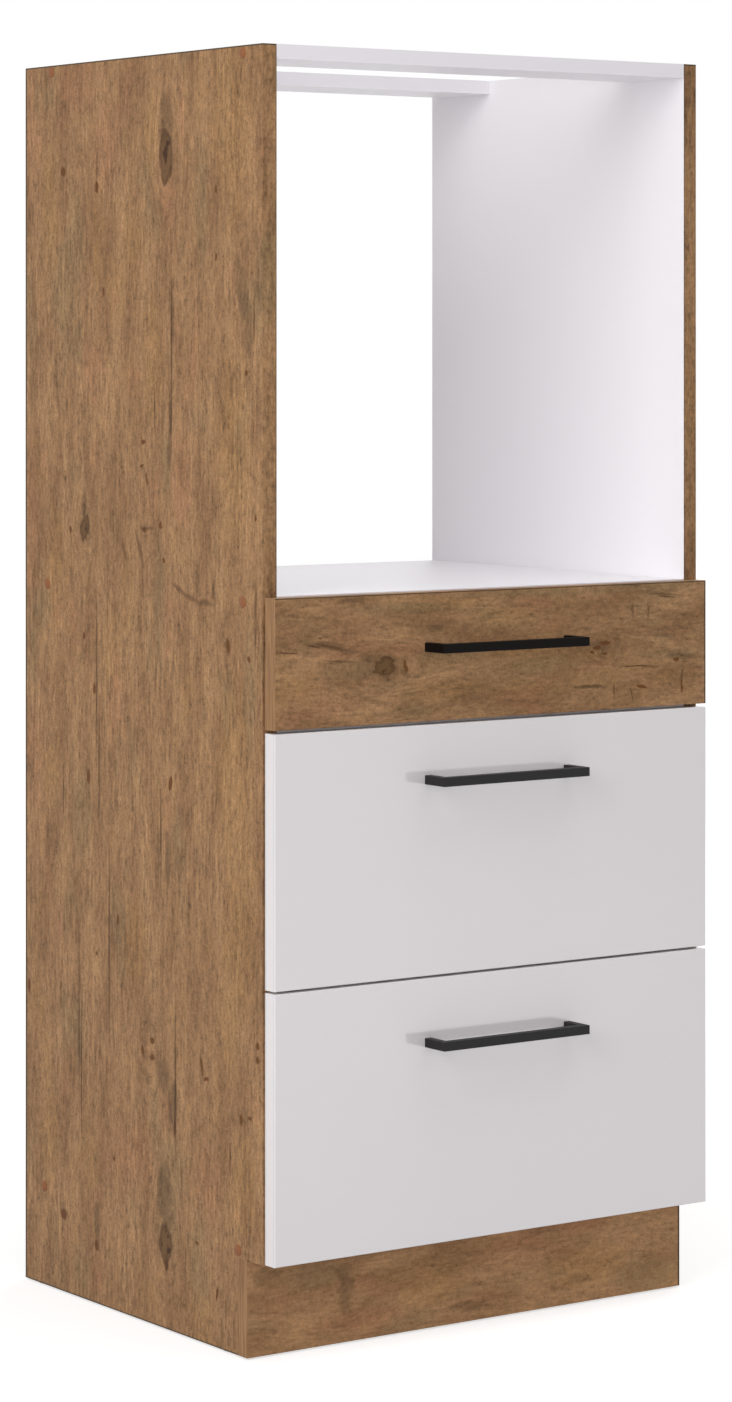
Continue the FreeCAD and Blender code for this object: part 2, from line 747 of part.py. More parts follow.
def bumper_pads():
    """Pads on the side panels' front edges that the closed fronts come to rest against."""
    x = -(inner_half + front_half) / 2
    thickness = front_standoff - bumper_clearance
    pads = [Part.makeCylinder(bumper_diameter / 2, thickness, Vector(x, carcass_front_y, z), -BACK)
            for drawer in drawers for z in drawer.bumper_zs()]
    return pair(pads)


def save_carcass():
    save("side_panel_left", [side_panel(-1)])
    save("side_panel_right", [side_panel(1)])
    save("bottom_panel", [cross_board(carcass_front_y, back_panel_y, bottom_panel_z)])
    save("niche_shelf", [cross_board(carcass_front_y, back_panel_y, shelf_z)])
    save("drawer_divider_rail", [cross_board(carcass_front_y, carcass_front_y + rail_depth, divider_rail_z)])
    save("top_rail_front", [cross_board(front_rail_y, front_rail_y + rail_depth, rail_z)])
    save("top_rail_rear", [cross_board(rear_rail_y, rear_rail_y + rail_depth, rail_z)])
    save("back_panel", [back_panel()])
    save("back_panel_nails", [nail(start, -BACK) for start in nail_starts()])
    save("plinth_board", [plinth_board()])
    save("plinth_brackets", plinth_brackets())
    save("plinth_bracket_screws", bracket_screws())
    save("floor_glides", pair([glide(place) for place in glide_places()]))
    save("confirmat_screws", pair([confirmat_screw(start, RIGHT) for start in left_confirmat_starts]))
    save("screw_cover_caps", pair([screw_cap(start) for start in left_confirmat_starts]))
    save("dowels", pair([dowel(start, RIGHT) for start in left_dowel_starts]))
    save("slide_cabinet_screws", cabinet_screws())
    save("bumper_pads", bumper_pads())


os.makedirs("parts", exist_ok=True)
save_carcass()
for drawer in drawers:
    drawer.save()
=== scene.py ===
import math

import bpy
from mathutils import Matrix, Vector


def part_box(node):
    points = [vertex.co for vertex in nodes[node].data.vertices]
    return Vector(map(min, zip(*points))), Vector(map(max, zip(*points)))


# Microwave cabinet: an open niche over three drawers. Colours are written as sRGB, 0 to 255.

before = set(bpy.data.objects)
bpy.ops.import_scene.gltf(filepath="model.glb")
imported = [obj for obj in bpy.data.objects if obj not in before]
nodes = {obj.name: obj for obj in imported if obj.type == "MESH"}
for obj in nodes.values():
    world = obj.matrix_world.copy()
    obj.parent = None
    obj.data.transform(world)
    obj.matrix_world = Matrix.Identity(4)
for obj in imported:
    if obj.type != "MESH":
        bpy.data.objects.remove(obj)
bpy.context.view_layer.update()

DRAWERS = ("top_drawer", "middle_drawer", "bottom_drawer")
LEFT, RIGHT = -1, 1
X, Y, Z = 0, 1, 2

side_low, side_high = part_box("side_panel_left")
front_low, front_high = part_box("top_drawer_front")

# ---------------------------------------------------------------- colours
OAK = (152, 116, 82)
OAK_LIGHT = (168, 130, 93)
OAK_DARK = (127, 93, 64)
OAK_GOLD = (160, 121, 72)
OAK_GREEN = (127, 108, 77)
OAK_PINK = (161, 112, 82)
OAK_GREY = (110, 86, 60)
OAK_KNOT = (100, 62, 30)
OAK_EYE = (102, 74, 46)
OAK_CRACK = (66, 42, 24)
OAK_EDGE_LINE = (58, 49, 38)
MELAMINE = (242, 239, 242)
MELAMINE_EDGE = (228, 224, 229)
GLOSS = (216, 211, 213)
GLOSS_EDGE = (221, 215, 214)
GLOSS_LAMINA = (205, 206, 216)
# Near white on the top and bottom edges of the white fronts is painted light, for the gaps between the
# fronts.
GLOSS_LEVEL_EDGE_PAINTED_LIGHT = (248, 245, 245)
CHIPBOARD = (184, 155, 118)
CHIPBOARD_DARK = (132, 102, 72)
FIBRE = (132, 98, 66)
FIBRE_DARK = (104, 74, 48)
BLACK = (20, 18, 19)
# The top drawer's handle is the same black powder coat, made darker as painted shade.
BLACK_PAINTED_SHADE = (13, 10, 8)
ZINC = (196, 199, 202)
ZINC_WARM = (205, 200, 184)
CAP = (140, 91, 61)
PLASTIC = (226, 226, 222)
BEECH = (206, 168, 124)
BEECH_DARK = (170, 128, 88)
RUBBER = (225, 226, 220)

# ---------------------------------------------------------------- marks of the oak decor
# Each mark is an ellipse: across the grain, along the grain, its two half sizes and its tilt in
# degrees. Knots are small dark spots, and eyes are the large ones, with a ring round them. Cracks
# are thin and sharp, strokes are softer lines, and smears are grey shade. Gold, green and pink are
# tinted patches, and the grain flows round the bends.

# On the side panels across is Y and along is Z.
SIDE_MARKS = {
    "eyes": [
        (-0.029, 1.301, 0.0135, 0.0290, 0), (0.147, 0.883, 0.0095, 0.0160, 0),
        (-0.028, 0.098, 0.0125, 0.0230, 0),
    ],
    "knots": [
        (0.193, 1.293, 0.0062, 0.0058, 0), (-0.155, 0.767, 0.0038, 0.0090, -12),
        (0.119, 1.273, 0.0036, 0.0074, 0), (0.104, 1.154, 0.0026, 0.0055, 0),
        (-0.131, 1.263, 0.0022, 0.0052, -12), (-0.131, 1.190, 0.0024, 0.0046, 0),
        (-0.191, 1.063, 0.0032, 0.0043, 0), (0.019, 0.985, 0.0052, 0.0028, 0),
        (0.022, 0.958, 0.0040, 0.0024, 0), (0.012, 0.944, 0.0021, 0.0078, -12),
        (0.177, 0.881, 0.0026, 0.0050, -12), (0.017, 0.887, 0.0058, 0.0030, 12),
        (-0.017, 0.893, 0.0032, 0.0042, 0), (-0.024, 0.854, 0.0032, 0.0034, 0),
        (-0.196, 0.755, 0.0034, 0.0028, 0), (-0.209, 0.907, 0.0019, 0.0043, 0),
        (0.124, 0.702, 0.0032, 0.0080, 0), (0.147, 0.761, 0.0030, 0.0045, 0),
        (0.137, 0.600, 0.0040, 0.0078, 0), (-0.038, 0.608, 0.0038, 0.0088, 12),
        (0.073, 0.444, 0.0028, 0.0068, 0), (0.119, 0.401, 0.0024, 0.0028, 0),
        (0.271, 0.345, 0.0034, 0.0080, 0), (0.000, 0.318, 0.0050, 0.0042, 24),
        (0.020, 0.304, 0.0036, 0.0070, -12), (0.000, 0.299, 0.0056, 0.0042, 0),
        (-0.047, 0.227, 0.0030, 0.0096, 0), (-0.102, 0.304, 0.0026, 0.0110, -12),
        (-0.111, 0.291, 0.0052, 0.0026, 0), (-0.213, 0.341, 0.0036, 0.0048, 0),
        (-0.213, 0.326, 0.0036, 0.0042, 0), (-0.181, 0.258, 0.0038, 0.0064, 0),
        (-0.198, 0.262, 0.0036, 0.0028, 0), (0.081, 0.173, 0.0030, 0.0034, 0),
        (0.192, 0.091, 0.0076, 0.0072, 24), (0.119, 0.068, 0.0046, 0.0070, 0),
        (-0.030, 0.072, 0.0044, 0.0058, 0), (-0.093, 0.108, 0.0030, 0.0022, 0),
        (-0.133, 0.060, 0.0026, 0.0087, 12),
    ],
    "cracks": [
        (-0.040, 1.085, 0.0011, 0.0750, 0), (0.119, 0.718, 0.0012, 0.0741, 0),
        (0.114, 0.614, 0.0014, 0.0524, 0), (0.193, 0.576, 0.0011, 0.0219, 0),
        (-0.018, 0.543, 0.0014, 0.0445, 0), (0.092, 0.417, 0.0013, 0.0852, 0),
        (0.158, 0.320, 0.0012, 0.0689, 0), (-0.048, 0.283, 0.0013, 0.0643, 0),
        (0.153, 0.262, 0.0012, 0.0597, 0), (-0.159, 0.210, 0.0012, 0.0130, 0),
        (-0.206, 1.119, 0.0014, 0.0183, 0), (-0.005, 1.022, 0.0010, 0.0200, 0),
    ],
    "strokes": [
        (-0.055, 0.824, 0.0170, 0.0030, 24), (-0.081, 0.815, 0.0140, 0.0032, 12),
        (-0.107, 0.811, 0.0170, 0.0034, 0), (-0.125, 0.826, 0.0030, 0.0130, 12),
        (0.027, 0.867, 0.0030, 0.0200, -24), (-0.209, 0.802, 0.0026, 0.0360, 0),
        (0.010, 0.889, 0.0140, 0.0022, 0), (-0.038, 1.016, 0.0034, 0.0280, 0),
        (-0.036, 0.975, 0.0050, 0.0200, 0), (-0.042, 1.120, 0.0040, 0.0260, 0),
        (0.147, 0.915, 0.0060, 0.0120, 0), (0.060, 0.862, 0.0026, 0.0120, -24),
        (-0.030, 0.075, 0.0034, 0.0120, 0), (-0.048, 0.250, 0.0034, 0.0300, 0),
        (0.119, 1.295, 0.0022, 0.0180, 0),
    ],
    "smears": [
        (-0.029, 1.343, 0.0150, 0.0380, 0), (-0.184, 1.149, 0.0120, 0.0400, -12),
        (-0.196, 1.111, 0.0090, 0.0340, 0), (-0.038, 1.012, 0.0044, 0.0233, 0),
        (0.147, 0.886, 0.0150, 0.0240, 0), (-0.021, 0.285, 0.0140, 0.0250, -24),
        (-0.042, 0.253, 0.0110, 0.0330, 0), (-0.033, 0.523, 0.0070, 0.0300, 0),
        (-0.012, 0.532, 0.0040, 0.0340, 0), (0.119, 0.093, 0.0060, 0.0240, 0),
        (-0.024, 0.153, 0.0150, 0.0340, 0), (-0.033, 0.125, 0.0120, 0.0110, 0),
        (-0.092, 0.834, 0.0060, 0.0160, 0), (-0.155, 0.769, 0.0074, 0.0080, 0),
        (-0.064, 0.039, 0.0060, 0.0036, 0),
    ],
    "gold": [
        (0.224, 1.233, 0.022, 0.060, 0), (0.002, 1.327, 0.013, 0.050, 0),
        (-0.002, 1.076, 0.020, 0.075, 0), (-0.161, 1.337, 0.042, 0.090, 0),
        (0.041, 1.217, 0.022, 0.045, 0), (-0.166, 0.981, 0.036, 0.110, 0),
        (0.086, 0.747, 0.020, 0.055, 0), (-0.166, 0.626, 0.036, 0.110, 0),
        (-0.175, 0.458, 0.036, 0.090, 0), (0.036, 0.420, 0.026, 0.055, 0),
        (0.212, 0.832, 0.022, 0.070, 0), (0.224, 0.172, 0.022, 0.060, 0),
        (-0.184, 0.183, 0.026, 0.060, 0),
    ],
    "green": [
        (0.167, 1.206, 0.022, 0.050, 0), (-0.101, 1.251, 0.014, 0.080, 0),
        (-0.198, 0.722, 0.013, 0.070, 0), (0.152, 0.558, 0.022, 0.055, 0),
        (-0.054, 0.541, 0.010, 0.045, 0), (0.148, 0.036, 0.022, 0.030, 0),
        (-0.099, 0.088, 0.020, 0.060, 0), (0.191, 1.151, 0.030, 0.060, 0),
        (-0.016, 0.802, 0.014, 0.075, 0), (-0.030, 0.962, 0.012, 0.040, 0),
    ],
    "pink": [
        (0.263, 1.332, 0.022, 0.090, 0), (-0.060, 1.346, 0.008, 0.040, 0),
        (0.099, 1.318, 0.034, 0.055, 0), (-0.113, 0.177, 0.030, 0.045, 0),
        (-0.058, 0.945, 0.024, 0.060, 0), (0.269, 0.889, 0.020, 0.090, 0),
        (0.080, 0.692, 0.020, 0.055, 0), (0.258, 0.609, 0.020, 0.060, 0),
        (0.165, 1.391, 0.050, 0.030, 0), (0.054, 0.183, 0.060, 0.040, 0),
    ],
    "bends": [
        (-0.029, 1.301, 0.040, 0.100, 0), (0.147, 0.883, 0.035, 0.070, 0),
        (0.006, 0.303, 0.040, 0.080, 0), (-0.028, 0.098, 0.045, 0.100, 0),
        (0.119, 1.273, 0.020, 0.050, 0), (-0.155, 0.769, 0.024, 0.050, 0),
    ],
}

# On the top drawer's front across is Z and along is X.
FRONT_MARKS = {
    "eyes": [
        (0.744, -0.154, 0.0095, 0.0140, 0),
    ],
    "knots": [
        (0.744, -0.127, 0.0085, 0.0022, -12), (0.757, 0.150, 0.0030, 0.0090, 0),
        (0.752, 0.139, 0.0026, 0.0065, 0), (0.747, 0.132, 0.0017, 0.0035, 0),
        (0.745, 0.149, 0.0015, 0.0040, 0), (0.734, 0.254, 0.0026, 0.0045, 0),
        (0.705, 0.204, 0.0020, 0.0085, 12), (0.778, -0.239, 0.0012, 0.0020, 0),
        (0.703, 0.262, 0.0090, 0.0018, 0),
    ],
    "cracks": [
        (0.764, -0.282, 0.0008, 0.0110, 4), (0.729, 0.190, 0.0007, 0.0150, 0),
        (0.697, 0.189, 0.0060, 0.0008, -12), (0.770, -0.250, 0.0006, 0.0080, 12),
        (0.806, 0.240, 0.0008, 0.0110, 4),
    ],
    "strokes": [
        (0.702, 0.163, 0.0090, 0.0012, 0), (0.728, 0.212, 0.0012, 0.0160, 4),
        (0.768, -0.225, 0.0014, 0.0200, 12), (0.709, 0.128, 0.0016, 0.0240, 0),
        (0.809, 0.236, 0.0014, 0.0240, 4), (0.752, -0.212, 0.0010, 0.0200, 4),
        (0.792, 0.190, 0.0080, 0.0016, 0), (0.790, 0.213, 0.0090, 0.0014, 0),
        (0.716, 0.262, 0.0120, 0.0014, 12),
    ],
    "smears": [
        (0.744, -0.152, 0.0150, 0.0220, 0), (0.753, -0.170, 0.0050, 0.0200, 12),
        (0.818, -0.198, 0.0040, 0.0220, 0), (0.783, -0.091, 0.0045, 0.0120, 0),
        (0.709, 0.130, 0.0022, 0.0300, 0), (0.737, 0.268, 0.0050, 0.0200, 0),
        (0.768, -0.222, 0.0060, 0.0400, 12), (0.754, 0.143, 0.0080, 0.0180, 0),
        (0.737, -0.128, 0.0060, 0.0060, 0),
    ],
    "gold": [
        (0.794, 0.002, 0.0100, 0.0500, 0), (0.810, -0.078, 0.0080, 0.0600, 0),
        (0.710, 0.042, 0.0110, 0.0500, 0), (0.714, -0.078, 0.0120, 0.0600, 0),
    ],
    "green": [
        (0.741, 0.245, 0.0060, 0.0500, 0), (0.742, -0.200, 0.0120, 0.0380, 0),
        (0.806, -0.128, 0.0070, 0.0700, 0), (0.736, 0.070, 0.0100, 0.0600, 0),
        (0.817, 0.090, 0.0040, 0.2000, 0), (0.755, -0.060, 0.0090, 0.0500, 0),
    ],
    "pink": [
        (0.771, -0.197, 0.0120, 0.0400, 0), (0.733, 0.112, 0.0080, 0.0400, 0),
        (0.702, -0.237, 0.0140, 0.0500, 0), (0.757, -0.211, 0.0070, 0.0300, 0),
        (0.760, -0.130, 0.0080, 0.0300, 0),
    ],
    "bends": [
        (0.743, -0.151, 0.034, 0.080, 0), (0.752, 0.147, 0.022, 0.060, 0),
    ],
}

# On the plinth across is Z and along is X.
PLINTH_MARKS = {
    "smears": [
        (0.088, -0.277, 0.0100, 0.0200, 0), (0.062, -0.172, 0.0300, 0.0120, 0),
        (0.020, -0.002, 0.0080, 0.0240, 0),
    ],
    "gold": [
        (0.052, -0.057, 0.0240, 0.0500, 0), (0.042, 0.163, 0.0240, 0.0600, 0),
    ],
    "green": [
        (0.080, -0.212, 0.0160, 0.0400, 0), (0.022, 0.253, 0.0200, 0.0500, 0),
    ],
    "pink": [
        (0.022, -0.157, 0.0120, 0.0700, 0), (0.072, 0.073, 0.0200, 0.0600, 0),
    ],
}

# Where a mark is still whole and where it has faded out, in half sizes from its middle.
RIMS = {
    "eyes": (0.55, 1.15), "knots": (0.2, 1.35), "cracks": (0.3, 1.7), "strokes": (0.0, 1.4),
    "smears": (0.0, 1.4), "gold": (0.0, 1.3), "green": (0.0, 1.3), "pink": (0.0, 1.3),
}

# How much of the way a mark turns the oak to its colour.
TINTS = {"gold": (OAK_GOLD, 0.34), "pink": (OAK_PINK, 0.42), "green": (OAK_GREEN, 0.52)}
SMEAR_GREY, SMEAR_DARK = 0.52, 0.18
KNOT_SHARE, STROKE_SHARE, CRACK_SHARE = 0.95, 0.50, 0.75
EDGE_LINE_SHARE = 0.85

# How much the finer noises change the oak's brightness at a contrast of 1.
DEEP_STREAKS, SHALLOW_STREAKS = 1.55, 0.75
MOTTLE_DEPTH, GRIT_DEPTH = 0.75, 0.30
DARK_FLECKS, LIGHT_FLECKS = -0.31, 0.26

# Contrast, length of the fibres for their width, and brightness of the decor on each board.
# That brightness is painted light and shade: the plinth is made lighter in place of the light its
# recess under the bottom front doesn't get, and the top front darker than the sides as painted shade.
SIDE_DECOR = {"contrast": 0.94, "stretch": 9.0, "tone": 1.01}
FRONT_DECOR = {"contrast": 0.80, "stretch": 6.0, "tone": 0.925}
PLINTH_DECOR = {"contrast": 0.60, "stretch": 6.0, "tone": 1.17}
# The front and top edge bands of the side panels are the decor darkened as painted shade, the right
# panel's more than the left's.
SIDE_EDGE_PAINTED_SHADE = {LEFT: 0.90, RIGHT: 0.82}
OAK_SHINE = 0.12


# ---------------------------------------------------------------- materials
def linear(colour):
    """sRGB, 0 to 255, as the linear colour that shaders take. A socket stays as it is."""
    if isinstance(colour, bpy.types.NodeSocket):
        return colour
    shares = [part / 255 for part in colour]
    parts = [s / 12.92 if s <= 0.04045 else ((s + 0.055) / 1.055) ** 2.4 for s in shares]
    return (*parts, 1.0)


class Shader:
    """One procedural material. Most calls add a node and return the socket that comes out."""

    def __init__(self, name, **sockets):
        self.material = bpy.data.materials.new(name)
        self.material.use_nodes = True
        self.tree = self.material.node_tree
        self.surface = self.tree.nodes["Principled BSDF"]
        place = self.tree.nodes.new("ShaderNodeTexCoord")
        self.place = place.outputs["Object"]
        self.normal = place.outputs["Normal"]
        for socket, value in sockets.items():
            self.put(socket.replace("_", " "), value)

    def put(self, socket, value):
        """Sets a socket of the surface, or wires it to another socket."""
        self.feed(self.surface.inputs[socket], value)

    def feed(self, target, value):
        if isinstance(value, bpy.types.NodeSocket):
            self.tree.links.new(value, target)
        else:
            target.default_value = value

    def node(self, kind, inputs, **settings):
        made = self.tree.nodes.new(kind)
        for name, value in settings.items():
            setattr(made, name, value)
        for key, value in inputs.items():
            self.feed(made.inputs[key], value)
        return made

    def math(self, operation, first, second=0.0, third=0.0, clamp=False):
        inputs = {0: first, 1: second, 2: third}
        return self.node("ShaderNodeMath", inputs, operation=operation, use_clamp=clamp).outputs[0]

    def vector_math(self, operation, first, second, third=(0, 0, 0)):
        inputs = {0: first, 1: second, 2: third}
        return self.node("ShaderNodeVectorMath", inputs, operation=operation).outputs[0]

    def dot(self, first, second):
        inputs = {0: first, 1: second}
        return self.node("ShaderNodeVectorMath", inputs, operation="DOT_PRODUCT").outputs[1]

    def split(self, vector):
        return list(self.node("ShaderNodeSeparateXYZ", {0: vector}).outputs)

    def join(self, parts):
        return self.node("ShaderNodeCombineXYZ", dict(enumerate(parts))).outputs[0]

    def smooth(self, value, low, high):
        """0 at low and 1 at high, eased between them. low may be above high."""
        inputs = {"Value": value, "From Min": low, "From Max": high}
        return self.node("ShaderNodeMapRange", inputs, interpolation_type="SMOOTHSTEP").outputs[0]

    def ranged(self, value, low, high):
        """A value of 0 to 1 spread from low to high."""
        return self.math("MULTIPLY_ADD", value, high - low, low)

    def noise(self, space, sizes, detail=2.0, roughness=0.5, output=0):
        """Noise, about 0 to 1. Its lumps have one size, or one for each axis of space."""
        if isinstance(sizes, float):
            sizes = (sizes, sizes, sizes)
        scaled = self.vector_math("MULTIPLY", space, [1 / size for size in sizes])
        inputs = {"Vector": scaled, "Scale": 1.0, "Detail": detail, "Roughness": roughness}
        return self.node("ShaderNodeTexNoise", inputs).outputs[output]

    def mix(self, factor, first, second):
        inputs = {0: factor, 6: linear(first), 7: linear(second)}
        return self.node("ShaderNodeMix", inputs, data_type="RGBA").outputs[2]

    def brightened(self, colour, factor):
        """A colour times a factor that varies over the surface."""
        if not isinstance(colour, bpy.types.NodeSocket):
            colour = linear(colour)[:3]
        inputs = {0: colour, 3: factor}
        return self.node("ShaderNodeVectorMath", inputs, operation="SCALE").outputs[0]

    def turned(self, space, turn):
        """A flat space turned about its origin."""
        u = self.dot(space, (math.cos(turn), math.sin(turn), 0))
        v = self.dot(space, (-math.sin(turn), math.cos(turn), 0))
        return self.join([u, v, 0.0])

    def spot(self, space, mark, inner, outer):
        """Soft ellipse: 1 inside inner and 0 outside outer, in half sizes. space has its tilt."""
        across, along, half_across, half_along, tilt = mark
        turn = math.radians(tilt)
        u = across * math.cos(turn) + along * math.sin(turn)
        v = along * math.cos(turn) - across * math.sin(turn)
        local = self.vector_math("MULTIPLY_ADD", space, (1 / half_across, 1 / half_along, 0),
                                 (-u / half_across, -v / half_along, 0))
        return self.smooth(self.dot(local, local), outer ** 2, inner ** 2)

    def spots(self, space, marks, inner, outer):
        """All the marks together, those of one tilt after another."""
        total = 0.0
        for tilt in sorted({mark[4] for mark in marks}):
            turned = self.turned(space, math.radians(tilt)) if tilt else space
            for mark in marks:
                if mark[4] == tilt:
                    total = self.math("MAXIMUM", self.spot(turned, mark, inner, outer), total)
        return total

    def bump(self, height, strength, distance):
        inputs = {"Height": height, "Strength": strength, "Distance": distance}
        self.put("Normal", self.node("ShaderNodeBump", inputs).outputs[0])

    def facing(self, axis, sign):
        """1 on faces that look along the axis in that sign's direction, and 0 elsewhere."""
        part = self.split(self.normal)[axis]
        return self.math("GREATER_THAN", self.math("MULTIPLY", part, sign), 0.6)

    def facing_both(self, axis):
        """1 on faces that look along the axis either way, and 0 elsewhere."""
        return self.math("MAXIMUM", self.facing(axis, 1), self.facing(axis, -1))


class Oak:
    """Rustic oak decor laid on a board, with listed knots, cracks and tinted patches."""

    def __init__(self, shader, marks, across, along, waviness, flip=None):
        self.shader = shader
        self.marks = marks
        parts = shader.split(shader.place)
        run = parts[along] if flip is None else shader.math("SUBTRACT", flip, parts[along])
        through = parts[X + Y + Z - across - along]
        self.space = shader.join([parts[across], run, through])
        self.flat = shader.join([parts[across], run, 0.0])
        self.torn = self.warped((0.0040, 0.0080, 0.0040), (0.0032, 0.0064))
        self.swept = self.warped((0.0110, 0.0300, 0.0110), (0.0130, 0.0340))
        self.grain = self.bent(waviness)

    def warped(self, sizes, reach):
        """The flat place pushed about by noise, so that marks laid there get ragged outlines."""
        shader = self.shader
        lumps = shader.noise(self.space, sizes, 2.0, 0.6, "Color")
        base = shader.vector_math("ADD", self.flat, (-reach[0] / 2, -reach[1] / 2, 0))
        return shader.vector_math("MULTIPLY_ADD", lumps, (reach[0], reach[1], 0), base)

    def bent(self, waviness):
        """The space in which the grain wanders, and flows round the big knots."""
        shader = self.shader
        pull = -0.75
        across, along, through = shader.split(self.space)
        drift = shader.noise(self.space, (0.09, 0.30, 0.09), 1.0)
        across = shader.math("MULTIPLY_ADD", shader.math("SUBTRACT", drift, 0.5), waviness, across)
        for mark in self.marks.get("bends", []):
            near = shader.spot(self.flat, mark, 0.0, 1.0)
            away = shader.math("SUBTRACT", across, mark[0])
            across = shader.math("MULTIPLY_ADD", away, shader.math("MULTIPLY", near, pull), across)
        return shader.join([across, along, through])

    def fibres(self, width, stretch, detail, roughness=0.5):
        """Noise drawn out along the grain."""
        return self.shader.noise(self.grain, (width, width * stretch, width), detail, roughness)

    def marked(self, kind, space):
        return self.shader.spots(space, self.marks.get(kind, []), *RIMS[kind])

    def colour(self, contrast, stretch, tone):
        """The decor's colour: bands, tinted patches, smears, fine noises and then the marks."""
        shader = self.shader
        bands = self.fibres(0.030, stretch * 0.6, 2.0, 0.55)
        streaks = self.fibres(0.0050, stretch, 3.0, 0.6)
        mottle = self.fibres(0.0042, 2.4, 3.0, 0.7)
        flecks = self.fibres(0.0030, stretch * 0.45, 1.0)
        pores = self.fibres(0.0016, stretch * 0.6, 1.0)
        grit = shader.noise(self.space, (0.0038, 0.0026, 0.0038), 1.0)
        clouds = shader.noise(self.space, (0.055, 0.14, 0.055), 2.0)
        haze = shader.noise(self.space, (0.040, 0.11, 0.040), 1.0)

        colour = shader.mix(shader.smooth(bands, 0.28, 0.72), OAK_DARK, OAK_LIGHT)
        colour = shader.mix(0.36, colour, OAK)
        loose = {"gold": shader.smooth(clouds, 0.56, 0.74), "green": shader.smooth(clouds, 0.44, 0.28),
                 "pink": shader.smooth(haze, 0.60, 0.76)}
        ragged = shader.ranged(mottle, 0.30, 1.10)
        for kind, (tint, share) in TINTS.items():
            patch = shader.math("MAXIMUM", self.marked(kind, self.flat), loose[kind])
            amount = shader.math("MULTIPLY", shader.math("MULTIPLY", patch, share), ragged)
            colour = shader.mix(amount, colour, tint)

        smears = self.marked("smears", self.swept)
        smears = shader.math("ADD", smears, shader.ranged(streaks, -0.50, 0.50))
        smears = shader.smooth(smears, 0.30, 1.10)
        colour = shader.mix(shader.math("MULTIPLY", smears, SMEAR_GREY), colour, OAK_GREY)
        colour = shader.mix(shader.math("MULTIPLY", smears, SMEAR_DARK), colour, OAK_CRACK)

        zone = shader.smooth(clouds, 0.40, 0.60)
        streak_depth = shader.ranged(zone, DEEP_STREAKS, SHALLOW_STREAKS)
        light = shader.math("MULTIPLY", shader.math("SUBTRACT", streaks, 0.5), streak_depth)
        light = shader.math("MULTIPLY_ADD", light, contrast, 1.0)
        for noise, depth in ((mottle, MOTTLE_DEPTH * contrast), (grit, GRIT_DEPTH * contrast)):
            light = shader.math("ADD", light, shader.ranged(noise, -depth, depth))
        dark = shader.math("MAXIMUM", shader.smooth(flecks, 0.62, 0.74),
                           shader.smooth(pores, 0.62, 0.74))
        light = shader.math("MULTIPLY_ADD", dark, DARK_FLECKS * contrast, light)
        pale = shader.smooth(flecks, 0.38, 0.26)
        light = shader.math("MULTIPLY_ADD", pale, LIGHT_FLECKS * contrast, light)
        # The tone makes the decor lighter or darker for each board: painted light on the plinth,
        # painted shade on the top front.
        colour = shader.brightened(colour, shader.math("MULTIPLY", light, tone))

        colour = self.with_eyes(colour, mottle, streaks, flecks)
        knots = self.marked("knots", self.torn)
        knots = shader.smooth(shader.math("ADD", knots, shader.ranged(mottle, -0.35, 0.35)), 0.20, 0.90)
        colour = shader.mix(shader.math("MULTIPLY", knots, KNOT_SHARE), colour, OAK_KNOT)
        strokes = self.marked("strokes", self.torn)
        colour = shader.mix(shader.math("MULTIPLY", strokes, STROKE_SHARE), colour, OAK_CRACK)
        cracks = self.marked("cracks", self.flat)
        cracks = shader.math("MULTIPLY", cracks, shader.smooth(pores, 0.15, 0.50))
        return shader.mix(shader.math("MULTIPLY", cracks, CRACK_SHARE), colour, OAK_CRACK)

    def with_eyes(self, colour, mottle, streaks, flecks):
        """Adds the large knots, each with a dark ring and dark veins."""
        shader = self.shader
        eyes = self.marked("eyes", self.swept)
        inside = shader.math("MULTIPLY", eyes, shader.ranged(mottle, 0.55, 1.15), clamp=True)
        colour = shader.mix(inside, colour, OAK_EYE)
        ring = shader.math("MULTIPLY", eyes, shader.math("SUBTRACT", 1.0, eyes))
        ring = shader.math("MULTIPLY", ring, shader.ranged(streaks, 1.2, 3.6))
        veins = shader.math("MULTIPLY", eyes, shader.smooth(flecks, 0.50, 0.66))
        return shader.mix(shader.math("MAXIMUM", ring, veins, clamp=True), colour, OAK_CRACK)

    def finish(self, fibre_length, share=1.0):
        """Uneven sheen, and fine furrows along the grain where share is 1."""
        shader = self.shader
        furrows = shader.noise(self.grain, (0.0014, fibre_length, 0.0014), 2.0)
        shader.put("Roughness", shader.ranged(furrows, 0.44, 0.62))
        shader.bump(shader.math("MULTIPLY", furrows, share), strength=0.25, distance=0.0004)


def melamine_colour(shader):
    grain = shader.noise(shader.place, 0.0012, 1.0)
    cloud = shader.noise(shader.place, 0.30, 1.0)
    tone = shader.math("ADD", shader.ranged(grain, 0.985, 1.0), shader.ranged(cloud, -0.006, 0.012))
    return shader.brightened(MELAMINE, tone)


def melamine_finish(shader):
    """The fine pearl texture that the boards are pressed with."""
    pearl = shader.noise(shader.place, 0.0009, 1.0)
    shader.put("Roughness", shader.ranged(pearl, 0.38, 0.50))
    shader.bump(pearl, strength=0.12, distance=0.0002)


def chipboard_colour(shader):
    """Raw edge of a board: pressed chips of different tones."""
    chips_per_metre = (420, 420, 800)
    inputs = {"Vector": shader.vector_math("MULTIPLY", shader.place, chips_per_metre), "Scale": 1.0}
    chips = shader.node("ShaderNodeTexVoronoi", inputs).outputs["Color"]
    return shader.mix(shader.split(chips)[0], CHIPBOARD, CHIPBOARD_DARK)


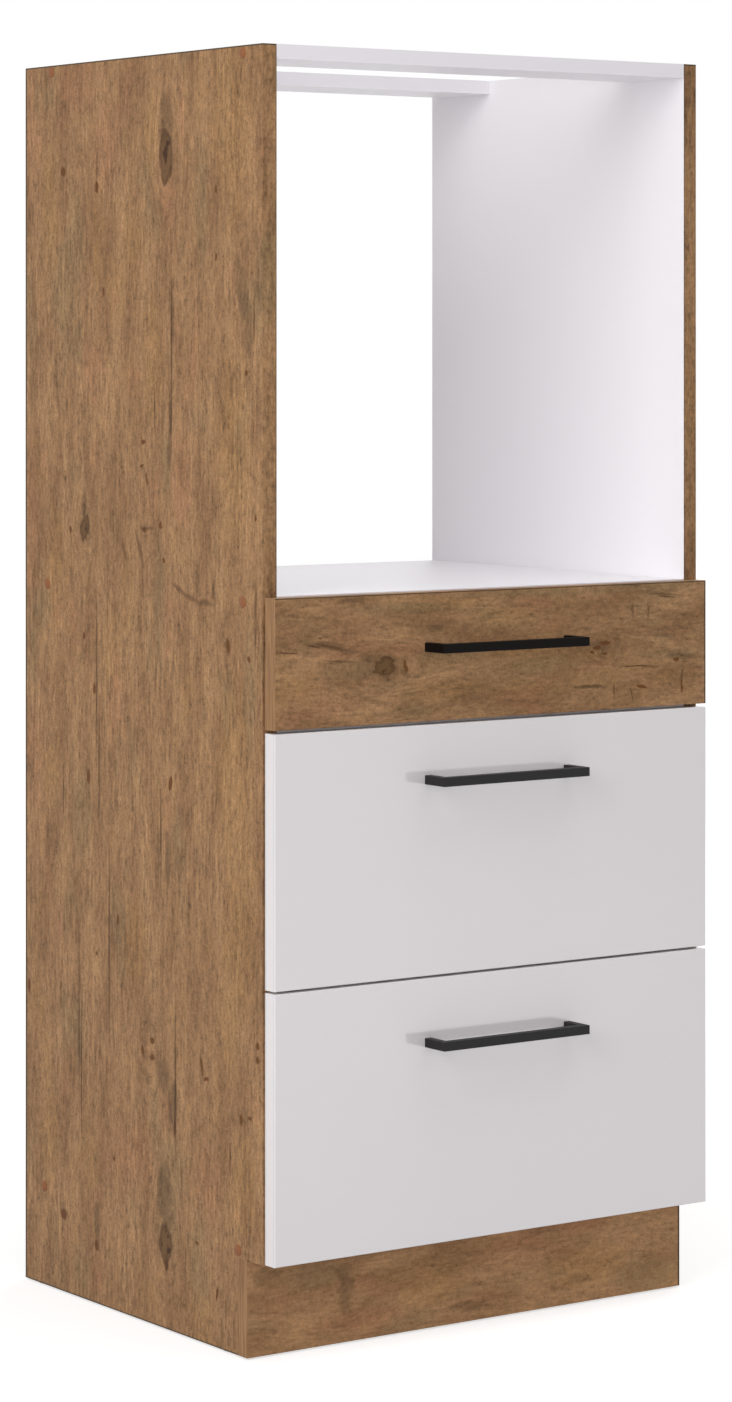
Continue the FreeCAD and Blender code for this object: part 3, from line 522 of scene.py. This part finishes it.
def side_panel_material(name, side):
    """Oak outside and on the front and top edges, white inside, raw chipboard behind and below."""
    shader = Shader(name, Specular_IOR_Level=OAK_SHINE)
    flip = None if side == LEFT else side_low.z + side_high.z
    oak = Oak(shader, SIDE_MARKS, Y, Z, 0.014, flip)
    decor = oak.colour(**SIDE_DECOR)

    x, y, z = shader.split(shader.place)
    line = 0.0020
    rear = shader.math("MULTIPLY", shader.math("SUBTRACT", side_high.y, y), 0.5)
    upper = shader.math("SUBTRACT", side_high.z, z)
    lower = shader.math("SUBTRACT", z, side_low.z)
    nearest = shader.math("MINIMUM", shader.math("MINIMUM", rear, upper), lower)
    outline = shader.smooth(nearest, line, line * 0.5)
    outline = shader.math("SUBTRACT", outline, shader.facing(Z, 1), clamp=True)
    decor = shader.mix(shader.math("MULTIPLY", outline, EDGE_LINE_SHARE), decor, OAK_EDGE_LINE)

    from_inner_face = shader.math("SUBTRACT", shader.math("ABSOLUTE", x), abs(side_high.x))
    inner_line = shader.math("MULTIPLY", shader.smooth(from_inner_face, 0.0015, 0.0006), 0.6)
    # The edge bands are the decor darkened as painted shade.
    edge = shader.mix(inner_line, shader.brightened(decor, SIDE_EDGE_PAINTED_SHADE[side]), OAK_EDGE_LINE)
    banded = shader.math("MAXIMUM", shader.facing(Y, -1), shader.facing(Z, 1))
    colour = shader.mix(banded, decor, edge)
    raw = shader.math("MAXIMUM", shader.facing(Y, 1), shader.facing(Z, -1))
    colour = shader.mix(raw, colour, chipboard_colour(shader))
    inside = shader.facing(X, -side)
    shader.put("Base Color", shader.mix(inside, colour, melamine_colour(shader)))
    oak.finish(0.016, shader.math("SUBTRACT", 1.0, inside))
    return shader.material


def oak_front_material(name, node, marks, decor):
    """Oak with its grain along X, with edge bands whose grain is upright, and white behind."""
    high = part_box(node)[1]
    shader = Shader(name, Specular_IOR_Level=OAK_SHINE)
    oak = Oak(shader, marks, Z, X, 0.030)
    face = oak.colour(**decor)
    place = shader.split(shader.place)
    end = shader.math("SUBTRACT", high.x, place[X])
    top = shader.math("MULTIPLY", shader.math("SUBTRACT", high.z, place[Z]), 1.6)
    outline = shader.smooth(shader.math("MINIMUM", end, top), 0.0030, 0.0018)
    outline = shader.math("MULTIPLY", outline, shader.facing(Y, -1))
    face = shader.mix(shader.math("MULTIPLY", outline, EDGE_LINE_SHARE), face, OAK_EDGE_LINE)
    band_grain = shader.noise(shader.place, (0.0016, 0.0016, 0.05), 2.0)
    band = shader.mix(shader.smooth(band_grain, 0.2, 0.8), OAK_DARK, OAK_LIGHT)
    colour = shader.mix(shader.facing_both(X), face, band)
    shader.put("Base Color", shader.mix(shader.facing(Y, 1), colour, melamine_colour(shader)))
    oak.finish(0.010)
    return shader.material


def gloss_material(name):
    """High gloss white film, with faint bands in the side edge strips, painted light on the top and
    bottom edges, and white melamine behind.
    """
    shader = Shader(name, Roughness=0.22, Coat_Roughness=0.08, Coat_IOR=1.9)
    cloud = shader.noise(shader.place, 0.22, 2.0)
    face = shader.brightened(GLOSS, shader.ranged(cloud, 0.985, 1.015))
    y = shader.split(shader.place)[Y]
    depth = shader.math("DIVIDE", shader.math("SUBTRACT", y, front_low.y), front_high.y - front_low.y)
    from_lamina = shader.math("ABSOLUTE", shader.math("SUBTRACT", depth, 0.14))
    edge = shader.mix(shader.smooth(from_lamina, 0.09, 0.03), GLOSS_EDGE, GLOSS_LAMINA)
    # The top and bottom edges are painted near white, as painted light in place of the light that
    # hardly gets into the gaps between the fronts, and they have no coat.
    level = shader.facing_both(Z)
    edge = shader.mix(level, edge, GLOSS_LEVEL_EDGE_PAINTED_LIGHT)
    shader.put("Coat Weight", shader.math("SUBTRACT", 1.0, level))
    colour = shader.mix(shader.facing(Y, -1), edge, face)
    shader.put("Base Color", shader.mix(shader.facing(Y, 1), colour, melamine_colour(shader)))
    ripple = shader.noise(shader.place, 0.035, 1.0)
    shader.bump(ripple, strength=0.05, distance=0.0006)
    return shader.material


def melamine_material(name):
    """White pearl-textured melamine, with raw chipboard on the ends that meet other boards."""
    shader = Shader(name)
    banded = shader.mix(shader.facing(Y, -1), melamine_colour(shader), MELAMINE_EDGE)
    shader.put("Base Color", shader.mix(shader.facing_both(X), banded, chipboard_colour(shader)))
    melamine_finish(shader)
    return shader.material


def box_board_material(name):
    """Drawer box boards: white melamine on the faces and the upper edge, chipboard below."""
    shader = Shader(name)
    below = shader.facing(Z, -1)
    shader.put("Base Color", shader.mix(below, melamine_colour(shader), chipboard_colour(shader)))
    melamine_finish(shader)
    return shader.material


def hardboard_material(name, white_axis, white_sign):
    """White lacquer on the side that is seen, and brown pressed fibre on the other."""
    shader = Shader(name)
    speck = shader.noise(shader.place, 0.0030, 4.0, 0.7)
    fibre = shader.mix(shader.smooth(speck, 0.35, 0.65), FIBRE, FIBRE_DARK)
    white = shader.facing(white_axis, white_sign)
    shader.put("Base Color", shader.mix(white, fibre, melamine_colour(shader)))
    shader.put("Roughness", shader.ranged(speck, 0.45, 0.70))
    shader.bump(speck, strength=0.2, distance=0.0003)
    return shader.material


def black_material(name, colour, shine):
    """Matt black powder coat."""
    shader = Shader(name, Specular_IOR_Level=shine)
    grit = shader.noise(shader.place, 0.0006, 2.0)
    shader.put("Base Color", shader.brightened(colour, shader.ranged(grit, 0.8, 1.2)))
    shader.put("Roughness", shader.ranged(grit, 0.48, 0.66))
    shader.bump(grit, strength=0.25, distance=0.0002)
    return shader.material


def zinc_material(name, sizes):
    """Zinc plating with a faint warm bloom and fine lines of the given sizes."""
    shader = Shader(name, Metallic=1.0)
    bloom = shader.noise(shader.place, (0.012, 0.040, 0.012), 2.0)
    lines = shader.noise(shader.place, sizes, 2.0)
    colour = shader.mix(shader.smooth(bloom, 0.35, 0.70), ZINC, ZINC_WARM)
    shader.put("Base Color", shader.brightened(colour, shader.ranged(lines, 0.90, 1.06)))
    shader.put("Roughness", shader.ranged(lines, 0.26, 0.46))
    shader.bump(lines, strength=0.15, distance=0.0001)
    return shader.material


def plastic_material(name, colour, roughness, shine):
    """Moulded plastic with a slight mottle."""
    shader = Shader(name, Specular_IOR_Level=shine)
    mottle = shader.noise(shader.place, 0.004, 3.0, 0.6)
    shader.put("Base Color", shader.brightened(colour, shader.ranged(mottle, 0.90, 1.10)))
    shader.put("Roughness", shader.ranged(mottle, roughness - 0.06, roughness + 0.08))
    shader.bump(mottle, strength=0.1, distance=0.0002)
    return shader.material


def rubber_material(name):
    """Clear soft bumper."""
    shader = Shader(name, Transmission_Weight=0.7, IOR=1.45)
    haze = shader.noise(shader.place, 0.003, 2.0)
    shader.put("Base Color", shader.brightened(RUBBER, shader.ranged(haze, 0.92, 1.04)))
    shader.put("Roughness", shader.ranged(haze, 0.22, 0.40))
    return shader.material


def beech_material(name):
    """Dowel with flecks along X."""
    shader = Shader(name, Roughness=0.6)
    flecks = shader.noise(shader.place, (0.010, 0.0010, 0.0010), 3.0, 0.6)
    shader.put("Base Color", shader.mix(shader.smooth(flecks, 0.4, 0.7), BEECH, BEECH_DARK))
    shader.bump(flecks, strength=0.3, distance=0.0003)
    return shader.material


def dress_all():
    """Gives every CAD node its material."""
    side_left = side_panel_material("oak side left", LEFT)
    side_right = side_panel_material("oak side right", RIGHT)
    oak_front = oak_front_material("oak front", "top_drawer_front", FRONT_MARKS, FRONT_DECOR)
    oak_plinth = oak_front_material("oak plinth", "plinth_board", PLINTH_MARKS, PLINTH_DECOR)
    gloss = gloss_material("gloss white")
    melamine = melamine_material("white melamine")
    box_board = box_board_material("white drawer board")
    back_board = hardboard_material("hardboard back", Y, -1)
    drawer_floor = hardboard_material("hardboard floor", Z, 1)
    black = black_material("black powder coat", BLACK, 0.3)
    # A darker, less shiny copy of the black powder coat: painted shade for the top drawer's handle.
    black_painted_shade = black_material("black powder coat with painted shade", BLACK_PAINTED_SHADE, 0.08)
    drawn_zinc = zinc_material("drawn zinc", (0.0007, 0.060, 0.0007))
    zinc = zinc_material("zinc screws", 0.0010)
    brown = plastic_material("brown plastic", CAP, 0.42, 0.12)
    white = plastic_material("white plastic", PLASTIC, 0.45, 0.5)
    rubber = rubber_material("clear rubber")
    beech = beech_material("beech")

    looks = {
        "side_panel_left": side_left, "side_panel_right": side_right, "plinth_board": oak_plinth,
        "bottom_panel": melamine, "niche_shelf": melamine, "drawer_divider_rail": melamine,
        "top_rail_front": melamine, "top_rail_rear": melamine, "back_panel": back_board,
        "back_panel_nails": zinc, "plinth_brackets": white, "plinth_bracket_screws": zinc,
        "floor_glides": white, "confirmat_screws": zinc, "screw_cover_caps": brown, "dowels": beech,
        "slide_cabinet_screws": zinc, "bumper_pads": rubber,
    }
    for drawer in DRAWERS:
        looks[drawer + "_front"] = oak_front if drawer == "top_drawer" else gloss
        # The top drawer's handle takes the darker copy, as painted shade.
        looks[drawer + "_handle"] = black_painted_shade if drawer == "top_drawer" else black
        looks[drawer + "_box_bottom"] = drawer_floor
        for part in ("box_side_left", "box_side_right", "box_front", "box_back"):
            looks[drawer + "_" + part] = box_board
        for part in ("handle_screws", "box_screws", "slide_screws", "slide_ball_strips"):
            looks[drawer + "_" + part] = zinc
        for part in ("cabinet_members", "intermediate_members", "drawer_members"):
            looks[drawer + "_slide_" + part] = drawn_zinc
    for name, material in looks.items():
        slots = nodes[name].data.materials
        slots.clear()
        slots.append(material)


# ---------------------------------------------------------------- stage, light and camera
WORLD_STRENGTH = 0.46
LAMP_TARGET = (0.0, 0.0, 0.75)
# Each lamp is a square: its place, its side and its power in watts.
LAMPS = {
    "key": ((-3.75, -1.7, 2.2), 2.3, 80),
    "fill": ((-2.9, -4.2, 1.05), 0.9, 38),
    "overhead": ((0.2, -1.2, 4.2), 2.6, 44),
    "back": ((3.4, 2.4, 2.4), 2.4, 36),
}


def seen_directly(tree):
    """1 for rays from the camera, from gloss and through clear things, and 0 for other light."""
    path = tree.nodes.new("ShaderNodeLightPath")
    total = path.outputs["Is Camera Ray"]
    for ray in ("Is Glossy Ray", "Is Transmission Ray"):
        highest = tree.nodes.new("ShaderNodeMath")
        highest.operation = "MAXIMUM"
        tree.links.new(total, highest.inputs[0])
        tree.links.new(path.outputs[ray], highest.inputs[1])
        total = highest.outputs[0]
    return total


def make_floor():
    """Pale floor that shows the camera white, apart from the object's shadow."""
    half = 12.0
    corners = [(-half, -half, 0), (half, -half, 0), (half, half, 0), (-half, half, 0)]
    mesh = bpy.data.meshes.new("floor")
    mesh.from_pydata(corners, [], [(0, 1, 2, 3)])
    floor = bpy.data.objects.new("floor", mesh)
    bpy.context.scene.collection.objects.link(floor)
    shader = Shader("pale floor", Roughness=1.0, Specular_IOR_Level=0.0,
                    Base_Color=(0.60, 0.60, 0.60, 1), Emission_Color=(1, 1, 1, 1))
    inputs = {0: shader.place}
    distance = shader.node("ShaderNodeVectorMath", inputs, operation="LENGTH").outputs["Value"]
    inputs = {"Value": distance, "From Min": 0.6, "From Max": 3.0, "To Min": 0.60, "To Max": 0.80}
    lift = shader.node("ShaderNodeMapRange", inputs).outputs[0]
    shader.put("Emission Strength", shader.math("MULTIPLY", seen_directly(shader.tree), lift))
    mesh.materials.append(shader.material)


def make_world():
    """Even soft light that shows as white where it is seen directly."""
    world = bpy.data.worlds.new("studio")
    bpy.context.scene.world = world
    world.use_nodes = True
    tree = world.node_tree
    background = tree.nodes["Background"]
    level = tree.nodes.new("ShaderNodeMapRange")
    level.inputs["To Min"].default_value = WORLD_STRENGTH
    level.inputs["To Max"].default_value = 1.0
    tree.links.new(seen_directly(tree), level.inputs["Value"])
    tree.links.new(level.outputs[0], background.inputs["Strength"])
    background.inputs["Color"].default_value = (1, 1, 1, 1)


def make_lamp(name, place, side, power):
    data = bpy.data.lights.new(name, "AREA")
    data.shape = "SQUARE"
    data.size = side
    data.energy = power
    lamp = bpy.data.objects.new(name, data)
    lamp.location = place
    lamp.rotation_euler = (Vector(LAMP_TARGET) - Vector(place)).to_track_quat("-Z", "Y").to_euler()
    bpy.context.scene.collection.objects.link(lamp)


def make_camera():
    """Level camera at the photograph's place. Its shift lets the upright edges stay upright."""
    data = bpy.data.cameras.new("camera")
    data.sensor_width = 36.0
    data.lens = 105.527
    data.shift_y = -0.25598
    camera = bpy.data.objects.new("camera", data)
    camera.location = (-2.7330, -3.8918, 1.0967)
    camera.rotation_euler = (math.radians(90), 0, math.radians(-34.9897))
    bpy.context.scene.collection.objects.link(camera)
    bpy.context.scene.camera = camera


dress_all()
make_floor()
make_world()
for lamp_name, (lamp_place, lamp_side, lamp_power) in LAMPS.items():
    make_lamp(lamp_name, lamp_place, lamp_side, lamp_power)
make_camera()
bpy.context.scene.view_settings.view_transform = "Standard"
